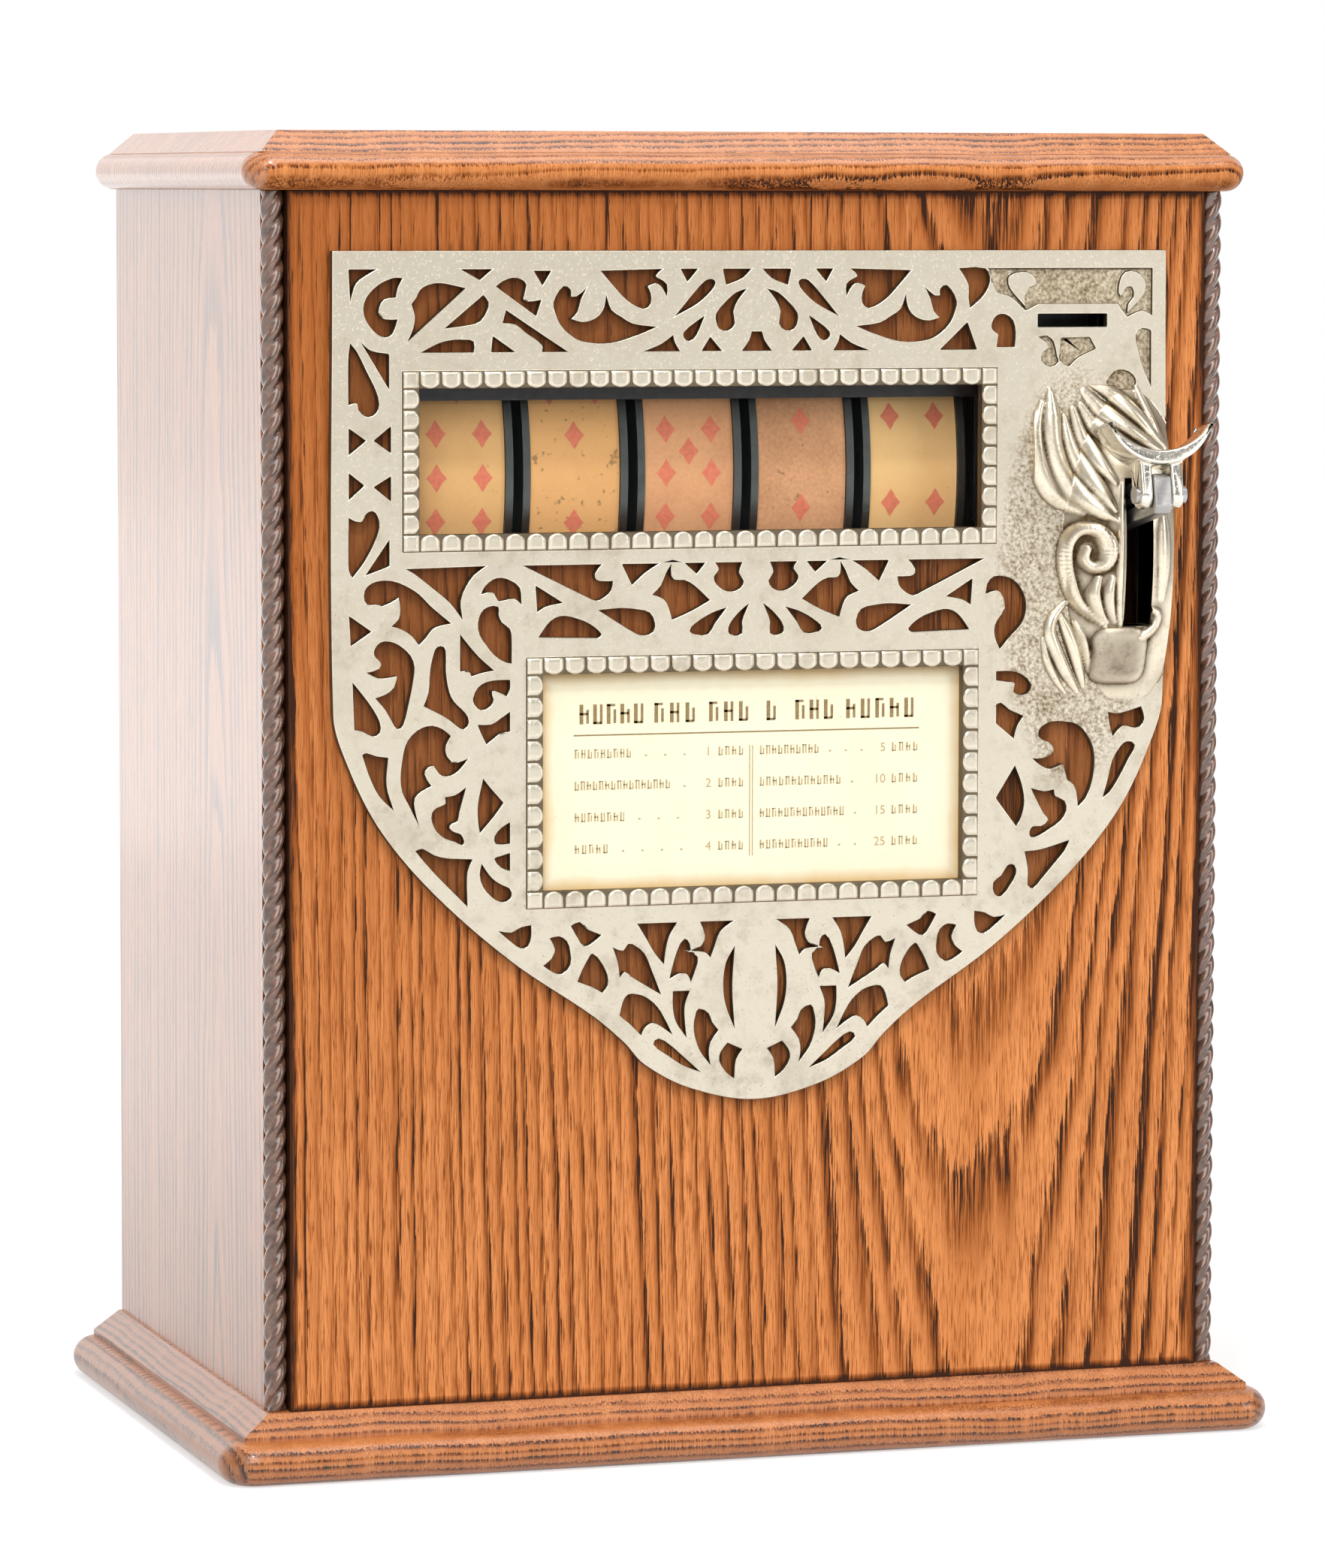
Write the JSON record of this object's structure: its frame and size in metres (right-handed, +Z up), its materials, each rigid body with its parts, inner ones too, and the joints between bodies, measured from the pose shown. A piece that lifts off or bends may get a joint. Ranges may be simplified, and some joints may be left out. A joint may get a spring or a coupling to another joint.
{
  "type": "trade stimulator",
  "caption": "Countertop card-reel machine: oak case, pierced nickel front casting, reels behind glass, coin slot, thumb lever, and a lever-driven reel mechanism behind a hinged back door.",
  "frame": {"origin": "centre of the base's underside, where the machine stands on a counter", "axes": "+X to the right seen from the front, +Y from the front to the back, +Z up"},
  "size_m": [0.3296, 0.2333, 0.3945],
  "materials": {
    "oak": "aged varnish, satin",
    "dark_oak": "dark stained, glossy",
    "nickel": "worn nickel plate on cast iron",
    "grey_iron": "bare, worn",
    "black_iron": "black japan",
    "steel": "dull",
    "brass": "tarnished",
    "tin": "tinned sheet",
    "reel_paper": "yellowed paper strip",
    "card": "yellowed card",
    "glass": "clear pane"
  },
  "bodies": {
    "case": {"base_plinth": "oak", "side_left": "oak", "side_right": "oak", "front_panel": "oak", "top_board": "oak", "rope_moulding_left": "dark_oak", "rope_moulding_right": "dark_oak", "mech_shelf": "oak", "shelf_cleats": "oak", "front_casting": "nickel", "casting_screws": "steel", "reel_window_glass": "glass", "glass_beads": "oak", "award_card": "card", "hinge_leaves_case": "brass", "hinge_pins": "steel", "frame_left": "black_iron", "frame_right": "black_iron", "tie_rods": "steel", "reel_shaft": "steel", "shaft_nuts": "steel", "reel_collars": "brass", "stop_rod": "steel", "lever_bracket": "black_iron", "lever_spring": "steel", "fan_cock": "brass", "coin_chute": "tin", "cash_box": "tin"},
    "door": {"back_door": "oak", "hinge_leaves_door": "brass", "lock_barrel": "brass"},
    "cam": {"lock_cam": "steel"},
    "lever": {"lever_arm": "grey_iron", "lever_shaft": "steel", "sector_gear": "brass"},
    "rest": {"finger_rest": "nickel", "finger_rest_pin": "steel"},
    "kicker": {"kicker_shaft": "steel", "kicker_pinion": "brass", "kick_fingers": "steel", "timer_gear": "brass"},
    "fan": {"fan_arbor": "steel", "fan_vane": "brass"},
    "reel_1": {"reel_drum_1": "tin", "reel_strip_1": "reel_paper"},
    "pawl_1": {"stop_pawl_1": "steel"},
    "reel_2": {"reel_drum_2": "tin", "reel_strip_2": "reel_paper"},
    "pawl_2": {"stop_pawl_2": "steel"},
    "reel_3": {"reel_drum_3": "tin", "reel_strip_3": "reel_paper"},
    "pawl_3": {"stop_pawl_3": "steel"},
    "reel_4": {"reel_drum_4": "tin", "reel_strip_4": "reel_paper"},
    "pawl_4": {"stop_pawl_4": "steel"},
    "reel_5": {"reel_drum_5": "tin", "reel_strip_5": "reel_paper"},
    "pawl_5": {"stop_pawl_5": "steel"}
  },
  "joints": [
    {"name": "back_door_hinge", "type": "hinge", "parent": "case", "child": "door", "pos_m": [-0.13675, 0.1013, 0.1987], "axis": [0, 0, 1], "range_deg": [0, 110]},
    {"name": "lock_turn", "type": "hinge", "parent": "door", "child": "cam", "pos_m": [0.1185, 0.088, 0.2202], "axis": [0, -1, 0], "range_deg": [0, 90]},
    {"name": "lever_press", "type": "hinge", "parent": "case", "child": "lever", "pos_m": [0.117, -0.024, 0.2677], "axis": [1, 0, 0], "range_deg": [0, 20], "stiffness_Nm_per_rad": 0.6, "springref_deg": -17.19},
    {"name": "finger_rest_rock", "type": "hinge", "parent": "lever", "child": "rest", "pos_m": [0.117, -0.12206, 0.28729], "axis": [1, 0, 0], "range_deg": [-6, 6]},
    {"name": "kicker_turn", "type": "hinge", "parent": "case", "child": "kicker", "pos_m": [0, -0.024, 0.2047], "axis": [1, 0, 0], "range_deg": [-40, 0]},
    {"name": "fan_turn", "type": "hinge", "parent": "case", "child": "fan", "pos_m": [-0.123, 0.0024, 0.2047], "axis": [1, 0, 0], "range_deg": [0, 125]},
    {"name": "reel_1_spin", "type": "hinge", "parent": "case", "child": "reel_1", "pos_m": [-0.0868, -0.005, 0.2935], "axis": [1, 0, 0], "continuous": true},
    {"name": "reel_2_spin", "type": "hinge", "parent": "case", "child": "reel_2", "pos_m": [-0.0514, -0.005, 0.2935], "axis": [1, 0, 0], "continuous": true},
    {"name": "reel_3_spin", "type": "hinge", "parent": "case", "child": "reel_3", "pos_m": [-0.016, -0.005, 0.2935], "axis": [1, 0, 0], "continuous": true},
    {"name": "reel_4_spin", "type": "hinge", "parent": "case", "child": "reel_4", "pos_m": [0.0194, -0.005, 0.2935], "axis": [1, 0, 0], "continuous": true},
    {"name": "reel_5_spin", "type": "hinge", "parent": "case", "child": "reel_5", "pos_m": [0.0548, -0.005, 0.2935], "axis": [1, 0, 0], "continuous": true},
    {"name": "pawl_1_drop", "type": "hinge", "parent": "case", "child": "pawl_1", "pos_m": [-0.0693, 0.07114, 0.2596], "axis": [1, 0, 0], "range_deg": [-1.9, 0]},
    {"name": "pawl_2_drop", "type": "hinge", "parent": "case", "child": "pawl_2", "pos_m": [-0.0339, 0.07114, 0.2596], "axis": [1, 0, 0], "range_deg": [-1.9, 0]},
    {"name": "pawl_3_drop", "type": "hinge", "parent": "case", "child": "pawl_3", "pos_m": [0.0015, 0.07114, 0.2596], "axis": [1, 0, 0], "range_deg": [-1.9, 0]},
    {"name": "pawl_4_drop", "type": "hinge", "parent": "case", "child": "pawl_4", "pos_m": [0.0369, 0.07114, 0.2596], "axis": [1, 0, 0], "range_deg": [-1.9, 0]},
    {"name": "pawl_5_drop", "type": "hinge", "parent": "case", "child": "pawl_5", "pos_m": [0.0723, 0.07114, 0.2596], "axis": [1, 0, 0], "range_deg": [-1.9, 0]}
  ],
  "couplings": [
    {"joint": "kicker_turn", "follows": "lever_press", "ratio": -2},
    {"joint": "fan_turn", "follows": "lever_press", "ratio": 6.25}
  ]
}
